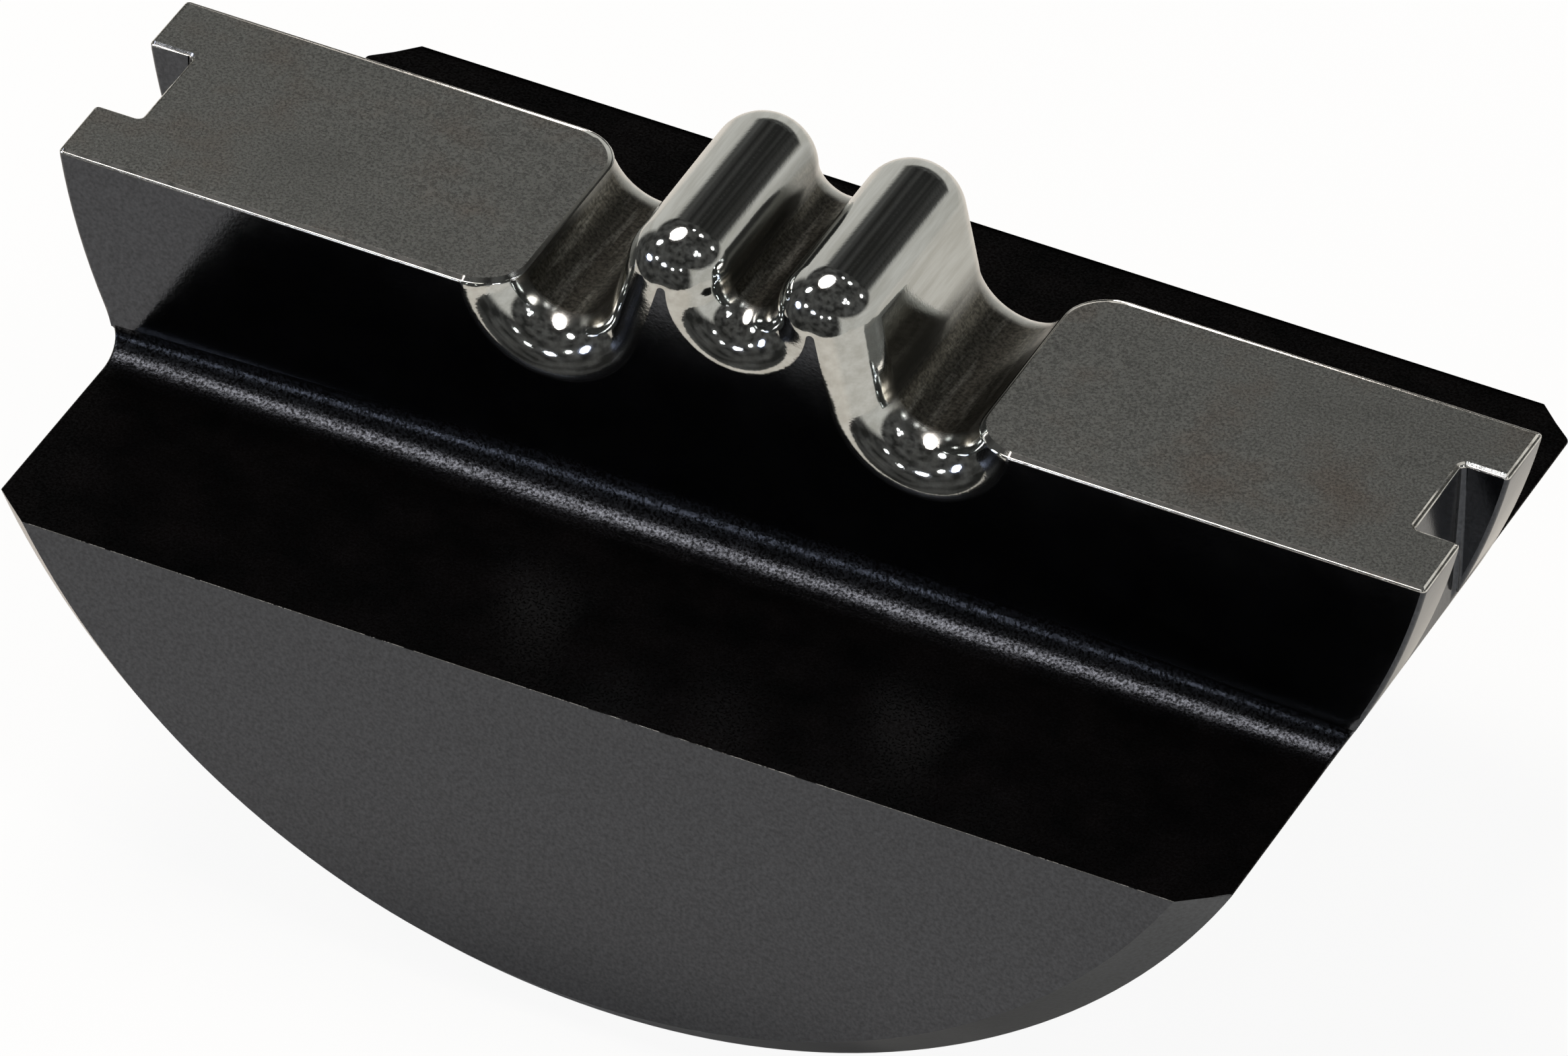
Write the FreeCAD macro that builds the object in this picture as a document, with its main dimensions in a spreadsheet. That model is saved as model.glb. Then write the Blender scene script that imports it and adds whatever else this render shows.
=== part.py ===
# Half-round crimping die: one block of hardened steel with a pair of nibs in its nest.
# Millimetres. X runs along the parting faces, Y across the die, and Z up, towards the other die.
# The origin is the lowest point of the round back, in the middle of its length and width.
import FreeCAD, Part
import math
import os

import Sketcher

V = FreeCAD.Vector
doc = FreeCAD.newDocument("CrimpingDie")

# The driving dimensions, in the order in which the die is cut
SIZES = [
    # Wide half-round block whose back sits in the press
    ("seat_radius", 21.0),
    ("seat_width", 24.6),
    ("rim_chamfer", 1.15),
    # The parting faces lie below the centre of the back, and the ledges below the parting faces
    ("parting_drop", 3.6),
    ("ledge_depth", 6.05),
    # Narrow rail that is left standing between the two ledges
    ("rail_width", 7.86),
    ("foot_radius", 1.15),
    # Locating slot milled down each end of the rail
    ("slot_width", 3.2),
    ("slot_depth", 1.4),
    ("slot_corner", 0.35),
    # Nest across the rail: an outer groove, a nib, the crotch, a nib and an outer groove
    ("nib_spacing", 4.5),
    ("nib_rise", 3.32),
    ("nib_radius", 1.53),
    ("crotch_rise", 1.26),
    ("groove_offset", 3.35),
    ("groove_depth", 0.98),
    ("groove_radius", 1.39),
    # The nest's edges are rolled until each nib ends in a ball with this much land at its centre
    ("nib_land", 0.13),
    # Stock above the nibs that the nest and the parting faces are cut from
    ("top_stock", 1.0),
    # Broken edges: the rail's upright corners, and all that bounds the parting faces
    ("corner_break", 0.3),
    ("parting_break", 0.12),
]

sheet = doc.addObject("Spreadsheet::Sheet", "Sizes")
for row, (alias, value) in enumerate(SIZES, start=1):
    sheet.set("A%d" % row, alias)
    sheet.set("B%d" % row, str(value))
    sheet.setAlias("B%d" % row, alias)
doc.recompute()


def size(alias):
    return float(sheet.get(alias))


# Heights and reaches that several features share, as expressions
PARTING = "(Sizes.seat_radius - Sizes.parting_drop)"
LEDGE = "(Sizes.seat_radius - Sizes.parting_drop - Sizes.ledge_depth)"
BLANK_TOP = "(Sizes.seat_radius - Sizes.parting_drop + Sizes.nib_rise + Sizes.top_stock)"
CUTTER_TOP = "(Sizes.seat_radius - Sizes.parting_drop + Sizes.nib_rise + 2 * Sizes.top_stock)"
CUTTER_REACH = "(Sizes.seat_radius + Sizes.top_stock)"
GROOVE_PLACE = "(Sizes.nib_spacing / 2 + Sizes.groove_offset)"
SLOT_FLOOR = "(sqrt(Sizes.seat_radius ^ 2 - Sizes.parting_drop ^ 2) - Sizes.slot_depth)"

# The same as first values, from which the sketches are solved and the edges are found
seat_radius = size("seat_radius")
parting_z = seat_radius - size("parting_drop")
ledge_z = parting_z - size("ledge_depth")
blank_top_z = parting_z + size("nib_rise") + size("top_stock")
cutter_top_z = blank_top_z + size("top_stock")
cutter_reach = seat_radius + size("top_stock")
groove_x = size("nib_spacing") / 2 + size("groove_offset")
slot_floor_x = math.sqrt(seat_radius ** 2 - size("parting_drop") ** 2) - size("slot_depth")
half_rail = size("rail_width") / 2
half_seat = size("seat_width") / 2
half_slot = size("slot_width") / 2

body = doc.addObject("PartDesign::Body", "DieBody")
body.Label = "die_body"

# The sketcher counts a line's or arc's points from one. The origin is the start of the level axis
START, END, CENTRE = range(1, 4)
X_AXIS, Z_AXIS = range(-1, -3, -1)
ORIGIN = (X_AXIS, START)


def new_sketch(name, role):
    """A sketch on one of the body's origin planes. On XZ_Plane its second axis is Z."""
    sketch = body.newObject("Sketcher::SketchObject", name)
    support = next(f for f in body.Origin.OriginFeatures if f.Role == role)
    sketch.AttachmentSupport = (support, [""])
    sketch.MapMode = "FlatFace"
    return sketch


def rule(sketch, kind, *where):
    return sketch.addConstraint(Sketcher.Constraint(kind, *where))


def dimension(sketch, name, expression, kind, *where):
    """A named dimension that follows the sheet."""
    sketch.renameConstraint(rule(sketch, kind, *where), name)
    sketch.setExpression("Constraints." + name, expression)


def line(sketch, start, end):
    return sketch.addGeometry(Part.LineSegment(V(*start, 0), V(*end, 0)))


def arc(sketch, centre, radius, first_angle, last_angle):
    """An arc that runs anticlockwise from the first angle to the last, in radians."""
    circle = Part.Circle(V(*centre, 0), V(0, 0, 1), radius)
    return sketch.addGeometry(Part.ArcOfCircle(circle, first_angle, last_angle))


def seat_half_chord(z):
    return math.sqrt(seat_radius ** 2 - (seat_radius - z) ** 2)


def seat_angle(z):
    """Angle of the right-hand point of the round back at height z, about its centre."""
    return math.atan2(z - seat_radius, seat_half_chord(z))


def pad_across(name, sketch, width):
    pad = body.newObject("PartDesign::Pad", name)
    pad.Profile = sketch
    pad.Midplane = True
    pad.setExpression("Length", width)
    sketch.Visibility = False
    doc.recompute()
    return pad


def pocket_across(name, sketch):
    pocket = body.newObject("PartDesign::Pocket", name)
    pocket.Profile = sketch
    pocket.Type = "ThroughAll"
    pocket.Midplane = True
    sketch.Visibility = False
    doc.recompute()
    return pocket


# The wide block and the rail are slices of one disc, so their round faces run into each other
def draw_seat():
    """Segment of the disc below the ledges."""
    sketch = new_sketch("SeatProfile", "XZ_Plane")
    reach = seat_half_chord(ledge_z)
    angle = seat_angle(ledge_z)
    back = arc(sketch, (0, seat_radius), seat_radius, math.pi - angle, 2 * math.pi + angle)
    chord = line(sketch, (reach, ledge_z), (-reach, ledge_z))
    rule(sketch, "Coincident", back, END, chord, START)
    rule(sketch, "Coincident", back, START, chord, END)
    rule(sketch, "PointOnObject", back, CENTRE, Z_AXIS)
    rule(sketch, "Horizontal", chord)
    dimension(sketch, "back_radius", "Sizes.seat_radius", "Radius", back, seat_radius)
    dimension(sketch, "centre_height", "Sizes.seat_radius", "DistanceY", *ORIGIN, back, CENTRE, seat_radius)
    dimension(sketch, "ledge_height", LEDGE, "DistanceY", *ORIGIN, chord, START, ledge_z)
    return sketch


def draw_rail():
    """Slice of the same disc from the ledges up to the top of the stock."""
    sketch = new_sketch("RailProfile", "XZ_Plane")
    low, high = seat_half_chord(ledge_z), seat_half_chord(blank_top_z)
    low_angle, high_angle = seat_angle(ledge_z), seat_angle(blank_top_z)
    centre = (0, seat_radius)
    right = arc(sketch, centre, seat_radius, low_angle, high_angle)
    top = line(sketch, (high, blank_top_z), (-high, blank_top_z))
    left = arc(sketch, centre, seat_radius, math.pi - high_angle, math.pi - low_angle)
    bottom = line(sketch, (-low, ledge_z), (low, ledge_z))
    loop = [right, top, left, bottom]
    for one, following in zip(loop, loop[1:] + loop[:1]):
        rule(sketch, "Coincident", one, END, following, START)
    rule(sketch, "PointOnObject", right, CENTRE, Z_AXIS)
    rule(sketch, "Coincident", left, CENTRE, right, CENTRE)
    rule(sketch, "Horizontal", top)
    rule(sketch, "Horizontal", bottom)
    dimension(sketch, "end_radius", "Sizes.seat_radius", "Radius", right, seat_radius)
    dimension(sketch, "centre_height", "Sizes.seat_radius", "DistanceY", *ORIGIN, right, CENTRE, seat_radius)
    dimension(sketch, "ledge_height", LEDGE, "DistanceY", *ORIGIN, bottom, START, ledge_z)
    dimension(sketch, "stock_height", BLANK_TOP, "DistanceY", *ORIGIN, top, START, blank_top_z)
    return sketch


seat = pad_across("Seat", draw_seat(), "Sizes.seat_width")
rail = pad_across("Rail", draw_rail(), "Sizes.rail_width")


# The nest goes right through the rail, and its walls still stand above the parting faces
def flank_angle(nib, nib_radius, groove, groove_radius):
    """Direction from the nib's centre to where its straight flank leaves it for the groove."""
    across, down = groove[0] - nib[0], groove[1] - nib[1]
    lean = math.acos((nib_radius + groove_radius) / math.hypot(across, down))
    return math.atan2(down, across) + lean


def draw_nest():
    """Outline of the nest cutter: every arc and flank touches its neighbours."""
    sketch = new_sketch("NestProfile", "XZ_Plane")
    nib_radius, groove_radius = size("nib_radius"), size("groove_radius")
    nib = (size("nib_spacing") / 2, parting_z + size("nib_rise") - nib_radius)
    groove = (groove_x, parting_z - size("groove_depth") + groove_radius)
    wall_x = groove[0] + groove_radius
    outer = flank_angle(nib, nib_radius, groove, groove_radius)

    # The crotch's circle is the one that touches both nibs and has its lowest point at crotch_rise
    crotch_z = parting_z + size("crotch_rise")
    sag = nib[1] - crotch_z
    crotch_radius = (nib[0] ** 2 + sag ** 2 - nib_radius ** 2) / (2 * (nib_radius + sag))
    crotch = (0, crotch_z + crotch_radius)
    inner = math.atan2(crotch[1] - nib[1], -nib[0]) % (2 * math.pi)

    def on(centre, radius, angle, side):
        return side * (centre[0] + radius * math.cos(angle)), centre[1] + radius * math.sin(angle)

    def flank(side):
        foot = on(groove, groove_radius, outer + math.pi, side)
        head = on(nib, nib_radius, outer, side)
        return line(sketch, foot, head)

    top = line(sketch, (wall_x, cutter_top_z), (-wall_x, cutter_top_z))
    left_wall = line(sketch, (-wall_x, cutter_top_z), (-wall_x, groove[1]))
    left_groove = arc(sketch, (-groove[0], groove[1]), groove_radius, math.pi, 2 * math.pi - outer)
    left_flank = flank(-1)
    left_nib = arc(sketch, (-nib[0], nib[1]), nib_radius, math.pi - inner, math.pi - outer)
    middle = arc(sketch, crotch, crotch_radius, 2 * math.pi - inner, math.pi + inner)
    right_nib = arc(sketch, nib, nib_radius, outer, inner)
    right_flank = flank(1)
    right_groove = arc(sketch, groove, groove_radius, outer + math.pi, 2 * math.pi)
    right_wall = line(sketch, (wall_x, groove[1]), (wall_x, cutter_top_z))

    for corner in ((top, END, left_wall, START), (right_wall, END, top, START)):
        rule(sketch, "Coincident", *corner)
    for joint in (
        (left_wall, END, left_groove, START),
        (left_groove, END, left_flank, START),
        (left_flank, END, left_nib, END),
        (left_nib, START, middle, START),
        (middle, END, right_nib, END),
        (right_nib, START, right_flank, END),
        (right_flank, START, right_groove, START),
        (right_groove, END, right_wall, START),
    ):
        rule(sketch, "Tangent", *joint)
    rule(sketch, "Horizontal", top)
    rule(sketch, "Vertical", left_wall)
    rule(sketch, "Vertical", right_wall)
    dimension(sketch, "cutter_height", CUTTER_TOP, "DistanceY", *ORIGIN, top, START, cutter_top_z)

    nib_height = PARTING + " + Sizes.nib_rise - Sizes.nib_radius"
    groove_height = PARTING + " - Sizes.groove_depth + Sizes.groove_radius"
    halves = (("left", -1, left_nib, left_groove), ("right", 1, right_nib, right_groove))
    for side, sign, nib_arc, groove_arc in halves:
        nib_place = "%d * Sizes.nib_spacing / 2" % sign
        groove_place = "%d * %s" % (sign, GROOVE_PLACE)
        dimension(sketch, side + "_nib_radius", "Sizes.nib_radius", "Radius", nib_arc, nib_radius)
        dimension(sketch, side + "_nib_height", nib_height, "DistanceY", *ORIGIN, nib_arc, CENTRE, nib[1])
        dimension(sketch, side + "_nib_place", nib_place,
                  "DistanceX", *ORIGIN, nib_arc, CENTRE, sign * nib[0])
        dimension(sketch, side + "_groove_radius", "Sizes.groove_radius", "Radius", groove_arc, groove_radius)
        dimension(sketch, side + "_groove_height", groove_height,
                  "DistanceY", *ORIGIN, groove_arc, CENTRE, groove[1])
        dimension(sketch, side + "_groove_place", groove_place,
                  "DistanceX", *ORIGIN, groove_arc, CENTRE, sign * groove[0])
    crotch_height = PARTING + " + Sizes.crotch_rise"
    lowest = sketch.addGeometry(Part.Point(V(0, crotch_z, 0)), True)
    rule(sketch, "PointOnObject", lowest, START, Z_AXIS)
    rule(sketch, "PointOnObject", lowest, START, middle)
    dimension(sketch, "crotch_height", crotch_height, "DistanceY", *ORIGIN, lowest, START, crotch_z)
    return sketch


nest = pocket_across("Nest", draw_nest())


def edges_where(feature, test):
    edges = enumerate(feature.Shape.Edges, start=1)
    return ["Edge%d" % number for number, edge in edges if test(edge, edge.BoundBox)]


def dress(kind, name, base, edges, size_property, expression):
    """A fillet or chamfer on the named edges of the feature before it."""
    feature = body.newObject(kind, name)
    feature.Base = (base, edges)
    feature.setExpression(size_property, expression)
    doc.recompute()
    return feature


SAME = 1e-4


def near(a, b):
    return abs(a - b) < SAME


def flat_at(box, y):
    """True for an edge that lies in the plane at y or at minus y."""
    return near(box.YLength, 0) and near(abs(box.YMin), y)


# The lead-in is rolled all along the nest, so that it also rounds the ends of the nibs
nest_wall_x = groove_x + size("groove_radius")
rolled = dress(
    "PartDesign::Fillet", "RolledNest", nest,
    edges_where(nest, lambda edge, box: flat_at(box, half_rail)
                and max(-box.XMin, box.XMax) < nest_wall_x + SAME),
    "Radius", "Sizes.nib_radius - Sizes.nib_land")


def draw_rectangle(sketch, name, low, high, low_expressions, high_expressions):
    """A rectangle whose two corners follow the sheet."""
    (x0, y0), (x1, y1) = low, high
    sides = [
        line(sketch, (x0, y0), (x1, y0)),
        line(sketch, (x1, y0), (x1, y1)),
        line(sketch, (x1, y1), (x0, y1)),
        line(sketch, (x0, y1), (x0, y0)),
    ]
    for one, following in zip(sides, sides[1:] + sides[:1]):
        rule(sketch, "Coincident", one, END, following, START)
    for side, kind in zip(sides, ("Horizontal", "Vertical", "Horizontal", "Vertical")):
        rule(sketch, kind, side)
    dimension(sketch, name + "_x0", low_expressions[0], "DistanceX", *ORIGIN, sides[0], START, x0)
    dimension(sketch, name + "_y0", low_expressions[1], "DistanceY", *ORIGIN, sides[0], START, y0)
    dimension(sketch, name + "_x1", high_expressions[0], "DistanceX", *ORIGIN, sides[1], END, x1)
    dimension(sketch, name + "_y1", high_expressions[1], "DistanceY", *ORIGIN, sides[1], END, y1)


# Grinding the parting faces leaves the rolled walls as rounded corners of the two faces
def draw_facing():
    """Stock above the two parting faces, from the middle of each outer groove outwards."""
    sketch = new_sketch("FacingProfile", "XZ_Plane")
    draw_rectangle(sketch, "right", (groove_x, parting_z), (cutter_reach, cutter_top_z),
                   (GROOVE_PLACE, PARTING), (CUTTER_REACH, CUTTER_TOP))
    draw_rectangle(sketch, "left", (-cutter_reach, parting_z), (-groove_x, cutter_top_z),
                   ("-" + CUTTER_REACH, PARTING), ("-" + GROOVE_PLACE, CUTTER_TOP))
    return sketch


faced = pocket_across("PartingFaces", draw_facing())


# The locating slots are milled straight down, and run out where the rail's round ends curve in
def draw_slots():
    sketch = new_sketch("SlotProfile", "XY_Plane")
    sketch.setExpression("AttachmentOffset.Base.z", PARTING)
    half = "Sizes.slot_width / 2"
    draw_rectangle(sketch, "right", (slot_floor_x, -half_slot), (cutter_reach, half_slot),
                   (SLOT_FLOOR, "-" + half), (CUTTER_REACH, half))
    draw_rectangle(sketch, "left", (-cutter_reach, -half_slot), (-slot_floor_x, half_slot),
                   ("-" + CUTTER_REACH, "-" + half), ("-" + SLOT_FLOOR, half))
    return sketch


slots = body.newObject("PartDesign::Pocket", "LocatingSlots")
slots.Profile = draw_slots()
slots.Profile[0].Visibility = False
slots.setExpression("Length", "Sizes.ledge_depth")
doc.recompute()

slot_corners = dress(
    "PartDesign::Fillet", "SlotCorners", slots,
    edges_where(slots, lambda edge, box: flat_at(box, half_slot)
                and near(box.XLength, 0) and near(abs(box.XMin), slot_floor_x)),
    "Radius", "Sizes.slot_corner")

# Cutter radius between the rail and the two ledges
foot = dress(
    "PartDesign::Fillet", "Foot", slot_corners,
    edges_where(slot_corners, lambda edge, box: flat_at(box, half_rail)
                and near(box.ZLength, 0) and near(box.ZMin, ledge_z)),
    "Radius", "Sizes.foot_radius")

# Chamfer along both rims of the round back
rims = dress(
    "PartDesign::Chamfer", "Rims", foot,
    edges_where(foot, lambda edge, box: flat_at(box, half_seat) and not near(box.ZLength, 0)),
    "Size", "Sizes.rim_chamfer")


def on_back(edge):
    """True for an edge in the round back's cylinder, tested at its two ends and its middle."""
    points = edge.discretize(3)
    return all(near(math.hypot(p.x, p.z - seat_radius), seat_radius) for p in points)


# The rail's end corners and the slots' mouths are eased, and with them the ends of the ledges
uprights = dress(
    "PartDesign::Fillet", "UprightCorners", rims,
    edges_where(rims, lambda edge, box: near(box.YLength, 0) and on_back(edge) and box.ZMin > ledge_z - SAME),
    "Radius", "Sizes.corner_break")

parting_edges = dress(
    "PartDesign::Chamfer", "PartingEdges", uprights,
    edges_where(uprights, lambda edge, box: near(box.ZLength, 0) and near(box.ZMin, parting_z)),
    "Size", "Sizes.parting_break")

# Every feature has to be sound, and each cut has to take metal away
for thing in doc.Objects:
    if "Invalid" in thing.State or "Error" in thing.State:
        raise RuntimeError("%s can't be built" % thing.Name)
for before, after in ((rail, nest), (rolled, faced), (faced, slots)):
    if after.Shape.Volume >= before.Shape.Volume:
        raise RuntimeError("%s cuts nothing" % after.Name)
shape = body.Shape
if shape.isNull() or not shape.isValid() or len(shape.Solids) != 1:
    raise RuntimeError("the die isn't one sound solid")

os.makedirs("parts", exist_ok=True)
shape.exportStep("parts/%s.step" % body.Label)
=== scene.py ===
from math import acos, atan2, cos, degrees, hypot, pi, radians, sin

import bmesh
import bpy
from mathutils import Matrix, Vector


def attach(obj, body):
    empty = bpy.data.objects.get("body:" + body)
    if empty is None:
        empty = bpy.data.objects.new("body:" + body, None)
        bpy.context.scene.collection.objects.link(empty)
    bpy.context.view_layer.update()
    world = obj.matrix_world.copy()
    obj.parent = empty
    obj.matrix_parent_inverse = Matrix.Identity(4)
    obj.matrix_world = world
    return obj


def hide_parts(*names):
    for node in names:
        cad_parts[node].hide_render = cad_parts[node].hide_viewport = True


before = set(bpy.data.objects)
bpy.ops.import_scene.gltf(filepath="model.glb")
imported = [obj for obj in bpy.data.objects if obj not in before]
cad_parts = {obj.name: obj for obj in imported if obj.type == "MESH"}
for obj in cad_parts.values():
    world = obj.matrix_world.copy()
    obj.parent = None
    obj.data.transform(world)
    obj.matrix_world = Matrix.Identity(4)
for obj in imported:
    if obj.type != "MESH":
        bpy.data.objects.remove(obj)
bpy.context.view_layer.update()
MM = 0.001

# ---------------------------------------------------------------- camera
# The photograph is taken with a long lens from the front right, 38 degrees above the bench,
# and the picture is tipped by two and a half degrees. Nothing is shifted.
EYE = (0.17197, -0.38580, 0.34261)
RIGHT, DOWN, AHEAD = (Vector(way) for way in (
    (0.90103, 0.43232, 0.03544), (0.29331, -0.54703, -0.78404), (-0.31956, 0.71684, -0.61969)))

scene = bpy.context.scene
scene.view_settings.view_transform = "Standard"
lens = bpy.data.cameras.new("bench_camera")
lens.lens = 447.3
lens.clip_start, lens.clip_end = 0.05, 20.0
camera = bpy.data.objects.new("bench_camera", lens)
scene.collection.objects.link(camera)
camera.matrix_world = Matrix.Translation(EYE) @ Matrix((RIGHT, -DOWN, -AHEAD)).transposed().to_4x4()
scene.camera = camera

# ---------------------------------------------------------------- bench and light
# A pale matt bench top, whose front edge runs slantwise, nearer to the die on the left. The camera
# sees it nearly white, with the die's own faint shadow on it. Polished steel mirrors it as it is
# near the die, and as evenly lit board farther off and out to the right.
BENCH_SIZE, BENCH_TURN, BENCH_EDGE = 4.0, -25, (-0.027, -0.0295, 0)
OWN_SHADE_ENDS = (0.05, 0.22)
RIGHT_SIDE = (0.012, 0.022)
NEARLY_WHITE = 0.93


def linear(code):
    """An sRGB hex colour as the linear RGBA that the shader sockets take."""
    parts = [int(code[i:i + 2], 16) / 255 for i in (1, 3, 5)]
    return [c / 12.92 if c <= 0.04045 else ((c + 0.055) / 1.055) ** 2.4 for c in parts] + [1.0]


def node(tree, kind, settings=None, stops=(), **links):
    """Adds a node. Settings are its properties, and stops a ramp's places and colours. Links are
    its inputs: a value, a socket, or a node, which gives its first output."""
    made = tree.nodes.new("ShaderNode" + kind)
    for name, value in (settings or {}).items():
        setattr(made, name, value)
    marks = made.color_ramp.elements if stops else ()
    while len(marks) < len(stops):
        marks.new(0.5)
    for mark, (place, code) in zip(marks, stops):
        mark.position, mark.color = place, linear(code)
    for name, value in links.items():
        name = name.replace("_", " ")
        socket = made.inputs[int(name[1:])] if name[1:].isdigit() else made.inputs[name]
        if isinstance(value, bpy.types.Node):
            value = value.outputs[0]
        if isinstance(value, bpy.types.NodeSocket):
            tree.links.new(value, socket)
        else:
            socket.default_value = value
    return made


def fresh(owner):
    """An owner's emptied node tree."""
    owner.use_nodes = True
    owner.node_tree.nodes.clear()
    return owner.node_tree


bench_paint = bpy.data.materials.new("matt_bench_board")
tree = fresh(bench_paint)
seen = node(tree, "LightPath")
board = node(tree, "BsdfDiffuse", Color=linear("#dcd9d2"), Roughness=0.5)
spot = node(tree, "TexCoord").outputs["Object"]
distance = node(tree, "VectorMath", {"operation": "LENGTH"}, i0=spot).outputs["Value"]
far = node(tree, "MapRange", {"interpolation_type": "SMOOTHSTEP"}, i0=distance,
           i1=OWN_SHADE_ENDS[0], i2=OWN_SHADE_ENDS[1])
east = node(tree, "MapRange", i0=node(tree, "SeparateXYZ", Vector=spot),
            i1=RIGHT_SIDE[0], i2=RIGHT_SIDE[1], i4=0.6)
far = node(tree, "Math", {"operation": "MAXIMUM"}, i0=far, i1=east)
lit = node(tree, "Emission", Color=linear("#dedbd4"), Strength=1.0)
mirrored = node(tree, "Math", {"operation": "MULTIPLY"}, i0=seen.outputs["Is Glossy Ray"], i1=far)
blend = node(tree, "MixShader", i0=mirrored, i1=board, i2=lit)
glow = node(tree, "Emission", Color=linear("#ffffff"), Strength=1.0)
share = node(tree, "Math", {"operation": "MULTIPLY"}, i0=seen.outputs["Is Camera Ray"],
             i1=NEARLY_WHITE)
blend = node(tree, "MixShader", i0=share, i1=blend, i2=glow)
node(tree, "OutputMaterial", Surface=blend)

board_top = bmesh.new()
bmesh.ops.create_grid(board_top, x_segments=1, y_segments=1, size=BENCH_SIZE)
bmesh.ops.translate(board_top, vec=(0, BENCH_SIZE, 0), verts=board_top.verts)
bmesh.ops.rotate(board_top, cent=(0, 0, 0), matrix=Matrix.Rotation(radians(BENCH_TURN), 3, "Z"),
                 verts=board_top.verts)
bmesh.ops.translate(board_top, vec=BENCH_EDGE, verts=board_top.verts)
bench_mesh = bpy.data.meshes.new("bench")
board_top.to_mesh(bench_mesh)
board_top.free()
bench_mesh.materials.append(bench_paint)
bench = bpy.data.objects.new("bench", bench_mesh)
scene.collection.objects.link(bench)

# White paper is swept up behind and beside the bench to about 25 degrees. The room above it and in
# front is dim, so that level steel shows dark between light flanks. The camera sees the paper only.
world = bpy.data.worlds.new("dim_room_above_paper")
scene.world = world
tree = fresh(world)
seen = node(tree, "LightPath")
way = node(tree, "TexCoord").outputs["Generated"]
height = node(tree, "VectorMath", {"operation": "DOT_PRODUCT"}, i0=way, i1=(0.115, 0.0, 1.0))
front = node(tree, "VectorMath", {"operation": "DOT_PRODUCT"}, i0=way, i1=(-0.6, -0.8, 0.0))
above = node(tree, "MapRange", {"interpolation_type": "SMOOTHSTEP"}, i0=height.outputs["Value"],
             i1=0.34, i2=0.48)
before = node(tree, "MapRange", {"interpolation_type": "SMOOTHSTEP"}, i0=front.outputs["Value"],
              i1=0.2, i2=0.42)
unlit = node(tree, "Math", {"operation": "MAXIMUM"}, i0=above, i1=before)
shapes = node(tree, "TexNoise", Vector=way, Scale=5.0, Detail=2.0)
dim = node(tree, "MapRange", i0=shapes, i1=0.35, i2=0.65, i3=0.035, i4=0.15)
paper = node(tree, "Background", Color=linear("#dedbd4"), Strength=1.0)
room = node(tree, "Background", Color=linear("#e2e1dc"), Strength=dim)
blend = node(tree, "MixShader", i0=unlit, i1=paper, i2=room)
white = node(tree, "Background", Color=linear("#ffffff"), Strength=1.0)
blend = node(tree, "MixShader", i0=seen.outputs["Is Camera Ray"], i1=blend, i2=white)
node(tree, "OutputWorld", Surface=blend)

# A large panel overhead, and small lamps round the die, all half a metre away.
LAMP_DISTANCE, LAMP_TARGET = 0.50, Vector((0, 0, 0.015))


def soft_box(name, bearing, height, wide, tall, level, tint="#ffffff"):
    """A lamp face wide by tall metres that looks at the die. Bearing 0 is the front and 90 the
    right, both in degrees, and level is how bright its face is beside white paper at 1."""
    lamp = bpy.data.lights.new(name, "AREA")
    lamp.shape = "ELLIPSE"
    lamp.size, lamp.size_y = wide, tall
    lamp.color = linear(tint)[:3]
    lamp.energy = level * pi * wide * tall
    thing = bpy.data.objects.new(name, lamp)
    scene.collection.objects.link(thing)
    a, e = radians(bearing), radians(height)
    way = Vector((sin(a) * cos(e), -cos(a) * cos(e), sin(e)))
    thing.location = way * LAMP_DISTANCE + LAMP_TARGET
    thing.rotation_mode = "QUATERNION"
    thing.rotation_quaternion = (-way).to_track_quat("-Z", "Y")


soft_box("overhead_panel", -107, 73, 0.32, 0.22, 11.0, "#fff6f0")
soft_box("back_right_lamp", 143, 58, 0.05, 0.05, 12.0)
soft_box("back_lamp", 172, 62, 0.03, 0.03, 14.0)
soft_box("left_lamp", -68, 42, 0.07, 0.10, 20.0)
soft_box("low_left_lamp", -57, 11, 0.12, 0.08, 14.0, "#d3deff")
soft_box("left_bulb", -41, 21, 0.05, 0.04, 18.0)
soft_box("front_bulb", -3, 15, 0.03, 0.03, 20.0)
for bearing, height in ((56, 50), (65, 54), (68, 47)):
    soft_box("right_bulb", bearing, height, 0.035, 0.035, 34.0)
soft_box("side_lamp", 116, 36, 0.05, 0.05, 12.0)
soft_box("front_lamp", -21, 17, 0.08, 0.05, 14.0, "#eef2ff")
soft_box("low_right_lamp", 14, 18, 0.03, 0.03, 20.0)

# ---------------------------------------------------------------- the die's blank
# The die is one solid piece of hardened tool steel, measured here in millimetres. Its blank is a
# length of round bar sawn along the middle, with a narrow rail left standing and two ledges milled
# down beside it. Each of the nest's circles is given as its middle's x and z and its radius.
SEAT_RADIUS, HALF_WIDTH = 21.0, 12.3
PARTING, LEDGE, STOCK = 17.4, 11.35, 18.4
DUB = 0.06
FACED = PARTING - DUB
HALF_RAIL = 3.93
NIB = (2.25, 19.19, 1.53)
GROOVE = (5.6, 17.81, 1.39)
CROTCH = (0.0, 19.3888, 0.7288)
NEAR = 1e-4

die = bmesh.new()


def add_point(x, z):
    """A point of the outline, which is drawn on the rail's front."""
    return die.verts.new((x, -HALF_RAIL, z))


def joined(a, b):
    """Draws an edge between two points."""
    bmesh.ops.contextual_create(die, geom=[a, b])


def turned(point, centre, sweep, steps):
    """Carries a point of the outline round a centre by degrees, and returns where it ends."""
    made = bmesh.ops.spin(
        die, geom=[point], cent=(centre[0], -HALF_RAIL, centre[1]), axis=(0, -1, 0),
        angle=radians(sweep), steps=steps)
    return next(v for v in made["geom_last"] if isinstance(v, bmesh.types.BMVert))


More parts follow.
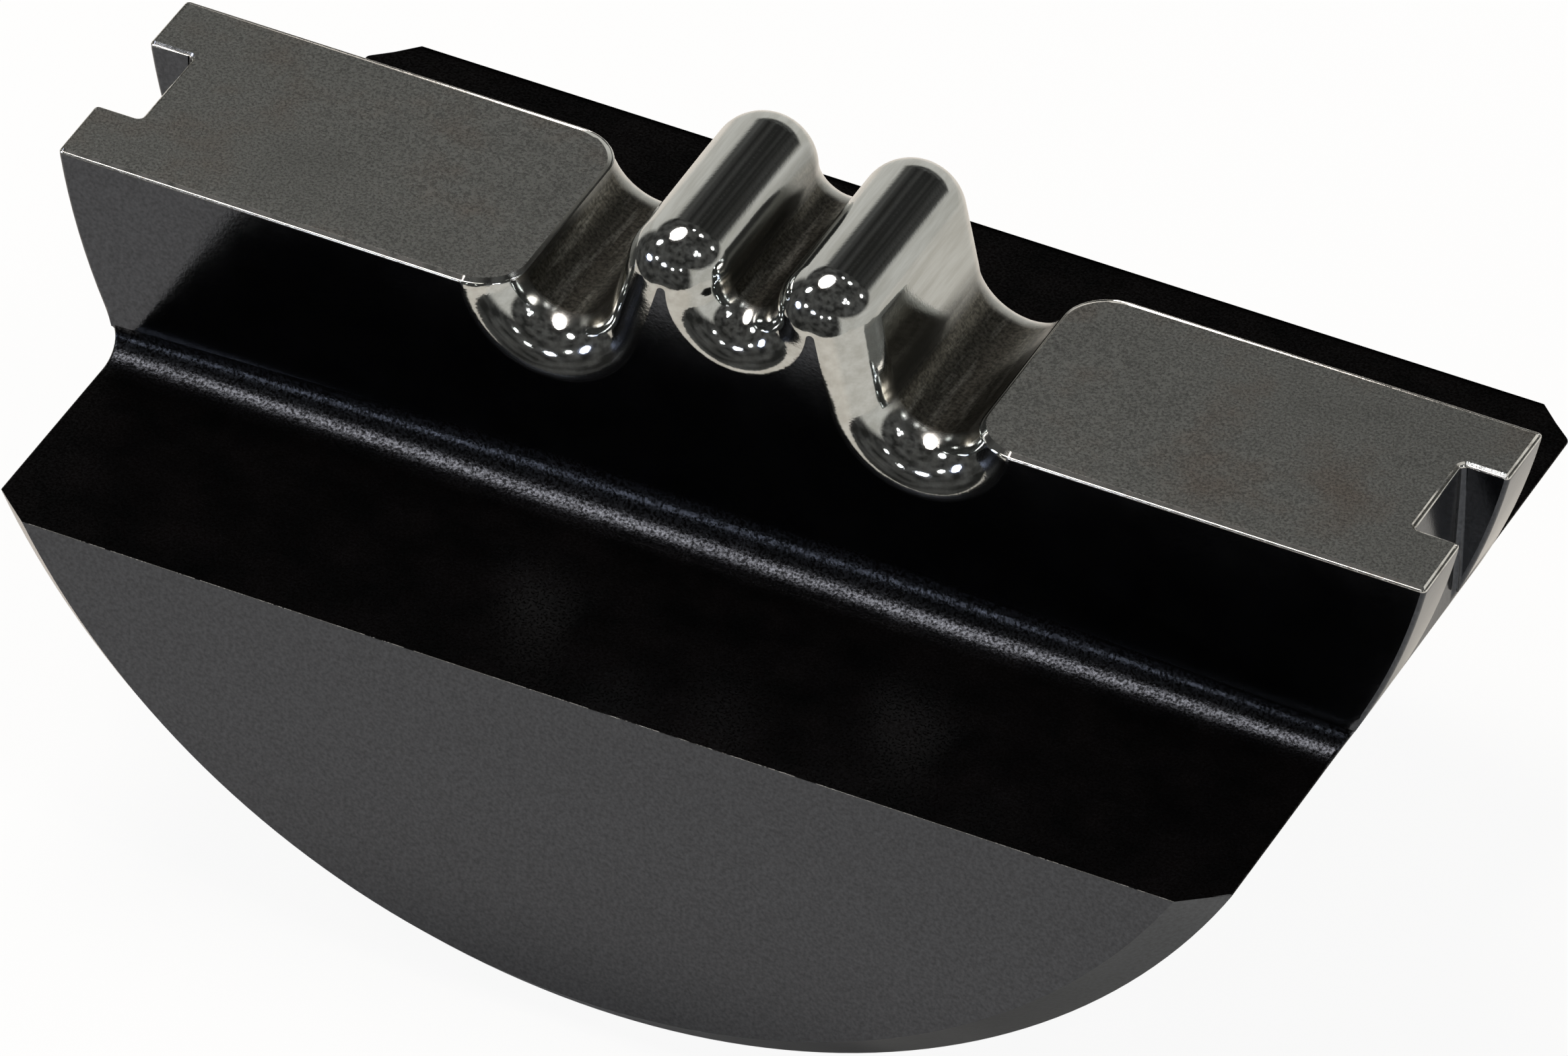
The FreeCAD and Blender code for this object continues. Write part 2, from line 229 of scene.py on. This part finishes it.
def bearing_of(centre, point):
    """The angle, in degrees, at which a centre sees a point of the outline."""
    return degrees(atan2(point[1] - centre[1], point[0] - centre[0]))


def reach(z):
    """Half the width of the round bar at a height."""
    return (SEAT_RADIUS ** 2 - (SEAT_RADIUS - z) ** 2) ** 0.5


# The right half of the outline: from the crotch between the nibs over the nib, down its flank
# and through the groove, then over the stock of the parting face and round the back.
gap = hypot(GROOVE[0] - NIB[0], GROOVE[1] - NIB[1])
flank = bearing_of(NIB, GROOVE) + degrees(acos((NIB[2] + GROOVE[2]) / gap))
inside = bearing_of(NIB, CROTCH)
point = add_point(0, CROTCH[1] - CROTCH[2])
point = turned(point, CROTCH, inside - 90, 14)
point = turned(point, NIB, flank - inside, 36)
foot_of_flank = add_point(GROOVE[0] - GROOVE[2] * cos(radians(flank)),
                          GROOVE[1] - GROOVE[2] * sin(radians(flank)))
joined(point, foot_of_flank)
point = turned(foot_of_flank, GROOVE, 90 - flank, 16)
point = turned(point, GROOVE, 90, 18)
wall_top = add_point(point.co.x, STOCK)
joined(point, wall_top)
point = add_point(reach(STOCK), STOCK)
joined(wall_top, point)
centre = (0, SEAT_RADIUS)
ledge_end = bearing_of(centre, (reach(LEDGE), LEDGE))
point = turned(point, centre, ledge_end - bearing_of(centre, (reach(STOCK), STOCK)), 12)
turned(point, centre, -90 - ledge_end, 40)
bmesh.ops.mirror(die, geom=die.verts[:] + die.edges[:], axis="X", merge_dist=NEAR)
bmesh.ops.remove_doubles(die, verts=die.verts, dist=NEAR)
joined(*[v for v in die.verts if abs(v.co.z - LEDGE) < NEAR])


def edges_where(test):
    """The die's edges for which a test of both their ends holds."""
    return [e for e in die.edges if all(test(v.co) for v in e.verts)]


def faces_where(test):
    """The die's faces for which a test of every corner holds."""
    return [f for f in die.faces if all(test(v.co) for v in f.verts)]


def with_borders(faces):
    """Faces with their own edges and corners, each once and always in the same order, as the
    cutting operators want them."""
    return list(dict.fromkeys(part for f in faces for part in (f, *f.edges, *f.verts)))


def drawn_out(faces, y):
    """Pushes faces out along y, and leaves their walls behind them."""
    made = bmesh.ops.extrude_face_region(die, geom=with_borders(faces))["geom"]
    moved = [v for v in made if isinstance(v, bmesh.types.BMVert)]
    bmesh.ops.translate(die, vec=(0, y, 0), verts=moved)


bmesh.ops.contextual_create(die, geom=edges_where(lambda c: c.z > LEDGE - NEAR))
bmesh.ops.contextual_create(die, geom=edges_where(lambda c: c.z < LEDGE + NEAR))
drawn_out(die.faces[:], 2 * HALF_RAIL)
for side in (-1, 1):
    below = faces_where(lambda c: abs(c.y - side * HALF_RAIL) < NEAR and c.z < LEDGE + NEAR)
    drawn_out(below, side * (HALF_WIDTH - HALF_RAIL))

# ---------------------------------------------------------------- nest
# The nest shapes the crimp, so its edges are rolled over far enough to make the ends of the nibs
# round, and it is lapped to a mirror. Grinding then takes the stock off the two parting faces.
ROLL = 1.4
wall_x = GROOVE[0] + GROOVE[2]


def span(edge, axis):
    """How far an edge runs along one axis: 0 for x, 1 for y and 2 for z."""
    return abs(edge.verts[0].co[axis] - edge.verts[1].co[axis])


def rounded(edges, size, steps):
    """Breaks edges: with one step to a chamfer, and with more to a radius."""
    bmesh.ops.bevel(
        die, geom=edges, offset=size, offset_type="OFFSET", segments=steps, profile=0.5,
        affect="EDGES", clamp_overlap=False, material=-1)


def cut(faces, place, way, take_away=False):
    """Cuts faces along a plane, and returns the edges of the cut."""
    made = bmesh.ops.bisect_plane(die, geom=with_borders(faces), dist=NEAR, plane_co=place,
                                  plane_no=way, clear_outer=take_away)
    return [e for e in made["geom_cut"] if isinstance(e, bmesh.types.BMEdge)]


over_nest = edges_where(lambda c: abs(abs(c.y) - HALF_RAIL) < NEAR and c.z > LEDGE + 1
                        and abs(c.x) < wall_x + NEAR)
rounded([e for e in over_nest if span(e, 1) < NEAR], ROLL, 18)
for side in (-1, 1):
    walls = [f for f in die.faces if abs(f.normal.y) > 0.9999 and f.calc_area() > 20
             and max(v.co.z for v in f.verts) > LEDGE + 1]
    cut(walls, (side * GROOVE[0], 0, 0), (1, 0, 0))
    outer = faces_where(lambda c: side * c.x > GROOVE[0] - NEAR and c.z > LEDGE - NEAR)
    rim = cut(outer, (0, 0, FACED), (0, 0, 1), take_away=True)
    bmesh.ops.contextual_create(die, geom=rim)

# ---------------------------------------------------------------- slots, foot, rims and corners
# A keying slot is milled down each end of the rail, and runs out where the round back curves in.
# The cutter leaves its radius at the rail's foot. The rims of the back are chamfered, the end
# corners eased, and the ground faces' edges only just broken, so that they stay bright.
SLOT_X, HALF_SLOT, SLOT_CORNER = 19.289, 1.6, 0.18
FOOT, RIM, CORNER, BREAK, RUB = 1.15, 1.15, 0.14, 0.06, 0.04


def end_of_rail(side):
    """The faces round one end of the rail, without the rail's long walls."""
    near_end = faces_where(lambda c: side * c.x > wall_x - 0.2 and c.z > LEDGE - NEAR
                           and abs(c.y) < HALF_RAIL + NEAR)
    return [f for f in near_end if abs(f.normal.y) < 0.9]


for side in (-1, 1):
    for y in (-HALF_SLOT, HALF_SLOT):
        cut(end_of_rail(side), (0, y, 0), (0, 1, 0))
    strip = [f for f in end_of_rail(side) if all(abs(v.co.y) < HALF_SLOT + NEAR for v in f.verts)]
    cut(strip, (side * SLOT_X, 0, 0), (1, 0, 0))
    mouth = faces_where(lambda c: side * c.x > SLOT_X - NEAR and c.z > LEDGE
                        and abs(c.y) < HALF_SLOT + NEAR)
    bmesh.ops.delete(die, geom=mouth, context="FACES")
    floor_points = [v for v in die.verts if abs(side * v.co.x - SLOT_X) < NEAR
                    and abs(abs(v.co.y) - HALF_SLOT) < NEAR and v.is_boundary]
    for y in (-HALF_SLOT, HALF_SLOT):
        joined(*[v for v in floor_points if abs(v.co.y - y) < NEAR])
    bmesh.ops.contextual_create(die, geom=edges_where(
        lambda c: abs(side * c.x - SLOT_X) < NEAR and abs(c.y) < HALF_SLOT + NEAR))
    for y in (-HALF_SLOT, HALF_SLOT):
        bmesh.ops.contextual_create(die, geom=[e for e in edges_where(
            lambda c: abs(c.y - y) < NEAR and side * c.x > SLOT_X - NEAR and c.z > LEDGE + 1)
            if len(e.link_faces) < 2])

bmesh.ops.recalc_face_normals(die, faces=die.faces)


def bent(edge, angle):
    """Whether an edge's two faces meet at more than an angle in degrees."""
    return len(edge.link_faces) == 2 and edge.calc_face_angle(0) > radians(angle)


flat_seams = edges_where(lambda c: abs(abs(c.y) - HALF_SLOT) < NEAR)
bmesh.ops.dissolve_edges(die, use_verts=True, edges=[e for e in flat_seams if not bent(e, 1)])
for side in (-1, 1):
    rounded(edges_where(lambda c: abs(abs(c.x) - SLOT_X) < NEAR
                        and abs(c.y - side * HALF_SLOT) < NEAR), SLOT_CORNER, 5)
foot = edges_where(lambda c: abs(abs(c.y) - HALF_RAIL) < NEAR and abs(c.z - LEDGE) < NEAR)
rounded([e for e in foot if span(e, 1) < NEAR], FOOT, 12)
rims = edges_where(lambda c: abs(abs(c.y) - HALF_WIDTH) < NEAR and c.z < LEDGE + NEAR)
rounded([e for e in rims if span(e, 2) > NEAR or e.verts[0].co.z < 1], RIM, 1)

# The front ledge's outer edge is rubbed off, twice as far back as down.
rounded(edges_where(lambda c: abs(c.y + HALF_WIDTH) < NEAR and abs(c.z - LEDGE) < NEAR), RUB, 1)
for v in die.verts:
    if abs(v.co.z - LEDGE) < NEAR and v.co.y < 1.25 * RUB - HALF_WIDTH:
        v.co.y += RUB


def on_back(c):
    """Whether a place lies in the round back."""
    return abs(hypot(c.x, c.z - SEAT_RADIUS) - SEAT_RADIUS) < 0.01


def uprights(low, high):
    """The sharp edges in the round back, from the ledges up, at a distance from the middle."""
    return [e for e in edges_where(lambda c: on_back(c) and c.z > LEDGE - NEAR
                                   and low < abs(c.y) < high)
            if bent(e, 20) and abs(abs(e.verts[0].co.x) - SLOT_X) > NEAR]


rounded(uprights(0, HALF_SLOT + NEAR), CORNER, 5)
rounded(uprights(HALF_RAIL - NEAR, HALF_WIDTH), CORNER, 5)
faced = [v for v in die.verts if abs(v.co.z - FACED) < NEAR]
bmesh.ops.remove_doubles(die, verts=faced, dist=BREAK / 2)
rounded([e for e in edges_where(lambda c: abs(c.z - FACED) < NEAR) if bent(e, 10)], BREAK, 5)

# Lapping the nest dubs the two faces' edges: hardly at all far out, and by most beside the nest,
# where each face also narrows a little. The back edges are rubbed farther in than the front ones.
FADE, NARROWING, BACK_RUB = 4.0, 0.045, 0.06
LONG_EDGE_DROP, OTHER_DROP = 0.032, 0.004
long_edge_y = HALF_RAIL - 0.2
level = [f for f in faces_where(lambda c: abs(c.z - FACED) < NEAR) if f.calc_area() > 20]
brink = {v for f in faces_where(lambda c: FACED - BREAK - NEAR < c.z < FACED + NEAR
                                and abs(c.x) > GROOVE[0]) for v in f.verts}
bmesh.ops.inset_region(die, faces=level, thickness=DUB, use_even_offset=True)


def beside_nest(c):
    """1 at the nest's wall, and fading to 0 away from it."""
    return min(1.0, max(0.0, 1 - (abs(c.x) - wall_x) / FADE)) ** 2


for v in {v for f in level for v in f.verts}:
    back = BACK_RUB if v.co.y > long_edge_y else 0.0
    v.co = (v.co.x, v.co.y * (1 - NARROWING * beside_nest(v.co)) - back, PARTING)
for v in brink:
    drop = LONG_EDGE_DROP if abs(v.co.y) > long_edge_y else OTHER_DROP
    v.co.z += (DUB - drop) * (1 - beside_nest(v.co))

# Where a slot's corners run out in the round back, the cutter leaves nothing proud of it.
for v in die.verts:
    proud = hypot(v.co.x, v.co.z - SEAT_RADIUS) / SEAT_RADIUS
    if proud > 1 + 1e-6 and v.co.z < PARTING - 1:
        v.co.x, v.co.z = v.co.x / proud, SEAT_RADIUS + (v.co.z - SEAT_RADIUS) / proud

# ---------------------------------------------------------------- finish
# The blank is blackened all over in a hot salt bath, and then the parting faces are ground and the
# nest lapped back to bare steel. Their broken edges are left bright, with a few chips in them.
bmesh.ops.remove_doubles(die, verts=die.verts, dist=NEAR)
bmesh.ops.dissolve_degenerate(die, edges=die.edges, dist=NEAR)
bmesh.ops.recalc_face_normals(die, faces=die.faces)
BLACK, MILLED, GROUND, LAPPED, BRIGHT, WORN = range(6)
for face in die.faces:
    middle = face.calc_center_median()
    if middle.z > PARTING - 0.001 and abs(middle.x) > wall_x - 0.1:
        face.material_index = GROUND
    elif (abs(middle.x) < wall_x + 0.9 * ROLL and middle.z > GROOVE[1] - GROOVE[2] - ROLL
          and abs(face.normal.y) < 0.9997):
        face.material_index = LAPPED
    elif FACED - BREAK - NEAR < middle.z < PARTING and face.calc_area() < 5:
        face.material_index = BRIGHT
    elif middle.y < 2 * RUB - HALF_WIDTH and LEDGE - RUB < middle.z < LEDGE:
        face.material_index = WORN
    elif (abs(middle.y) < HALF_WIDTH - 0.01 and abs(middle.z - LEDGE) < FOOT
          and face.normal.z > 0.03):
        face.material_index = MILLED
bmesh.ops.scale(die, vec=(MM, MM, MM), verts=die.verts)

COLD_TINT = "#e3edff"


def finish_of(name):
    """A new material, its emptied node tree and its Object coordinates."""
    finish = bpy.data.materials.new(name)
    tree = fresh(finish)
    return finish, tree, node(tree, "TexCoord").outputs["Object"]


def per(size):
    """The Scale of a pattern whose features are that many millimetres apart."""
    return 1.0 / (size * MM)


# Black oxide on fine ground tool steel: a thin conversion coat under oil, nearly black with a cold
# cast. It mirrors the paper softly, and the pores of the coat speckle what it mirrors.
black_oxide, tree, place = finish_of("black_oxide_on_ground_steel")
clouds = node(tree, "TexNoise", Vector=place, Scale=per(1.6), Detail=5.0, Roughness=0.6)
grain = node(tree, "TexNoise", Vector=place, Scale=per(0.11), Detail=2.0, Roughness=0.6)
coat = node(tree, "ValToRGB", stops=((0.3, "#020202"), (0.7, "#050505")), Fac=clouds)
blur = node(tree, "MapRange", i0=clouds, i1=0.3, i2=0.7, i3=0.1, i4=0.16)
shine = node(tree, "MapRange", i0=grain, i1=0.3, i2=0.7, i3=0.46, i4=0.76)
bumps = node(tree, "Bump", Height=grain, Strength=0.2, Distance=0.00001)
steel = node(tree, "BsdfPrincipled", Base_Color=coat, Roughness=blur, IOR=1.65, Normal=bumps,
             Specular_IOR_Level=shine, Specular_Tint=linear(COLD_TINT))
node(tree, "OutputMaterial", Surface=steel)

# The same coat on the milled ledges and at the foot of the rail, where the cutter has left a
# rougher ground: what it mirrors is lost, and lamps draw broad streaks full of sparks. Out on the
# ledge, past the cutter's radius, the coat is whole and dull.
RADIUS_ENDS, LEDGE_STARTS = 4.8 * MM, 5.4 * MM
milled_oxide, tree, place = finish_of("black_oxide_on_milled_steel")
clouds = node(tree, "TexNoise", Vector=place, Scale=per(1.6), Detail=5.0, Roughness=0.6)
grain = node(tree, "TexNoise", Vector=place, Scale=per(0.08), Detail=2.0, Roughness=0.65)
coat = node(tree, "ValToRGB", stops=((0.3, "#020202"), (0.7, "#050404")), Fac=clouds)
blur = node(tree, "MapRange", i0=clouds, i1=0.3, i2=0.7, i3=0.22, i4=0.3)
sides = node(tree, "VectorMath", {"operation": "ABSOLUTE"}, i0=place)
out = node(tree, "SeparateXYZ", Vector=sides).outputs["Y"]
foot = node(tree, "MapRange", i0=out, i1=LEDGE_STARTS, i2=RADIUS_ENDS, i3=0.16, i4=1.0)
shine = node(tree, "MapRange", i0=grain, i1=0.4, i2=0.66, i3=0.04, i4=0.55)
shine = node(tree, "Math", {"operation": "MULTIPLY"}, i0=shine, i1=foot)
bumps = node(tree, "Bump", Height=grain, Strength=0.35, Distance=0.00002)
steel = node(tree, "BsdfPrincipled", Base_Color=coat, Roughness=blur, Normal=bumps,
             Specular_IOR_Level=shine, Specular_Tint=linear(COLD_TINT))
node(tree, "OutputMaterial", Surface=steel)

# Ground steel that oil and handling have dulled: level, grey to olive brown in soft blotches
# about three millimetres apart, with grinding marks too fine to part.
ground_steel, tree, place = finish_of("ground_and_stained_tool_steel")
blotches = node(tree, "TexNoise", Vector=place, Scale=per(3.0), Detail=6.0, Roughness=0.62)
grain = node(tree, "TexNoise", Vector=place, Scale=per(0.08), Detail=2.0, Roughness=0.7)
stain = node(tree, "ValToRGB", stops=((0.3, "#8f9290"), (0.5, "#979a98"), (0.72, "#938e88")),
             Fac=blotches)
speck = node(tree, "ValToRGB", stops=((0.3, "#dedede"), (0.7, "#ffffff")), Fac=grain)
stain = node(tree, "Mix", {"data_type": "RGBA", "blend_type": "MULTIPLY"},
             i0=1.0, i6=stain, i7=speck)
blur = node(tree, "MapRange", i0=grain, i1=0.3, i2=0.7, i3=0.24, i4=0.32)
bumps = node(tree, "Bump", Height=grain, Strength=0.4, Distance=0.00001)
steel = node(tree, "BsdfPrincipled", Base_Color=stain.outputs[2], Metallic=1.0, Roughness=blur,
             Normal=bumps)
node(tree, "OutputMaterial", Surface=steel)

# Lapped tool steel: bare and mirror bright on the nibs, with very slight waves along the nest where
# the lap has followed it, and duller lengthwise streaks down in the grooves, where it reaches less.
# Each pair says where the dullness begins and where it is full: in z, in x and in y.
DULL_BELOW, CROTCH_WITHIN, ENDS_WITHIN = (18.1, 17.1), (1.1, 0.6), (3.2, 2.6)
lapped_steel, tree, place = finish_of("lapped_tool_steel")
along = node(tree, "Mapping", Vector=place, Scale=(1.0, 0.1, 1.0))
waves = node(tree, "TexNoise", Vector=along, Scale=per(0.9), Detail=1.0, Roughness=0.4)
smears = node(tree, "TexNoise", Vector=along, Scale=per(0.28), Detail=4.0, Roughness=0.6)
grain = node(tree, "TexNoise", Vector=place, Scale=per(0.1), Detail=2.0, Roughness=0.6)
sides = node(tree, "VectorMath", {"operation": "ABSOLUTE"}, i0=place)
sides = node(tree, "SeparateXYZ", Vector=sides).outputs
low, crotch, inner = (
    node(tree, "MapRange", i0=sides[axis], i1=start * MM, i2=end * MM)
    for axis, (start, end) in (("Z", DULL_BELOW), ("X", CROTCH_WITHIN), ("Y", ENDS_WITHIN)))
deep = node(tree, "Math", {"operation": "MAXIMUM"}, i0=low, i1=crotch)
deep = node(tree, "Math", {"operation": "MULTIPLY"}, i0=deep, i1=inner)
bare = node(tree, "ValToRGB", stops=((0.35, "#c6c9c8"), (0.65, "#b4b6b3")), Fac=smears)
brown = node(tree, "ValToRGB", stops=((0.35, "#63615a"), (0.5, "#55534c"), (0.7, "#8d8c85")),
             Fac=smears)
speck = node(tree, "ValToRGB", stops=((0.35, "#a4a4a4"), (0.65, "#ffffff")), Fac=grain)
brown = node(tree, "Mix", {"data_type": "RGBA", "blend_type": "MULTIPLY"},
             i0=1.0, i6=brown, i7=speck)
skin = node(tree, "Mix", {"data_type": "RGBA"}, i0=deep, i6=bare, i7=brown.outputs[2])
blur = node(tree, "MapRange", i0=deep, i1=0.0, i2=1.0, i3=0.07, i4=0.3)
swell = node(tree, "Bump", Height=waves, Strength=0.4, Distance=0.00002)
bumps = node(tree, "Bump", Height=grain, Strength=0.12, Distance=0.00001, Normal=swell)
steel = node(tree, "BsdfPrincipled", Base_Color=skin.outputs[2], Metallic=1.0, Roughness=blur,
             Normal=bumps)
node(tree, "OutputMaterial", Surface=steel)

# Broken edges: bright bare steel in a line a tenth of a millimetre wide, chipped here and there.
bright_edge, tree, place = finish_of("bright_broken_edge")
chips = node(tree, "TexNoise", Vector=place, Scale=per(0.35), Detail=4.0, Roughness=0.7)
coat = node(tree, "ValToRGB", stops=((0.5, "#dededb"), (0.7, "#9b9995")), Fac=chips)
blur = node(tree, "MapRange", i0=chips, i1=0.3, i2=0.7, i3=0.1, i4=0.25)
bumps = node(tree, "Bump", Height=chips, Strength=0.2, Distance=0.00002)
steel = node(tree, "BsdfPrincipled", Base_Color=coat, Metallic=1.0, Roughness=blur, Normal=bumps)
node(tree, "OutputMaterial", Surface=steel)

# The front ledge's outer edge: the coat is rubbed through to bare steel, in dashes and specks.
worn_edge, tree, place = finish_of("worn_black_edge")
rubs = node(tree, "TexNoise", Vector=place, Scale=per(0.9), Detail=5.0, Roughness=0.75)
coat = node(tree, "ValToRGB", stops=((0.42, "#0b0b0b"), (0.5, "#e6e6e2")), Fac=rubs)
bare = node(tree, "MapRange", i0=rubs, i1=0.42, i2=0.5, i3=0.0, i4=1.0)
blur = node(tree, "MapRange", i0=rubs, i1=0.3, i2=0.7, i3=0.15, i4=0.25)
steel = node(tree, "BsdfPrincipled", Base_Color=coat, Metallic=bare, Roughness=blur)
node(tree, "OutputMaterial", Surface=steel)

die_mesh = bpy.data.meshes.new("crimping_die")
die.to_mesh(die_mesh)
die.free()
for finish in (black_oxide, milled_oxide, ground_steel, lapped_steel, bright_edge, worn_edge):
    die_mesh.materials.append(finish)
die_mesh.shade_smooth()
die_mesh.set_sharp_from_angle(angle=radians(21))
blank = bpy.data.objects.new("crimping_die", die_mesh)
scene.collection.objects.link(blank)
shading = blank.modifiers.new("level_faces", "WEIGHTED_NORMAL")
shading.keep_sharp = True
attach(blank, "root")
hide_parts("die_body")
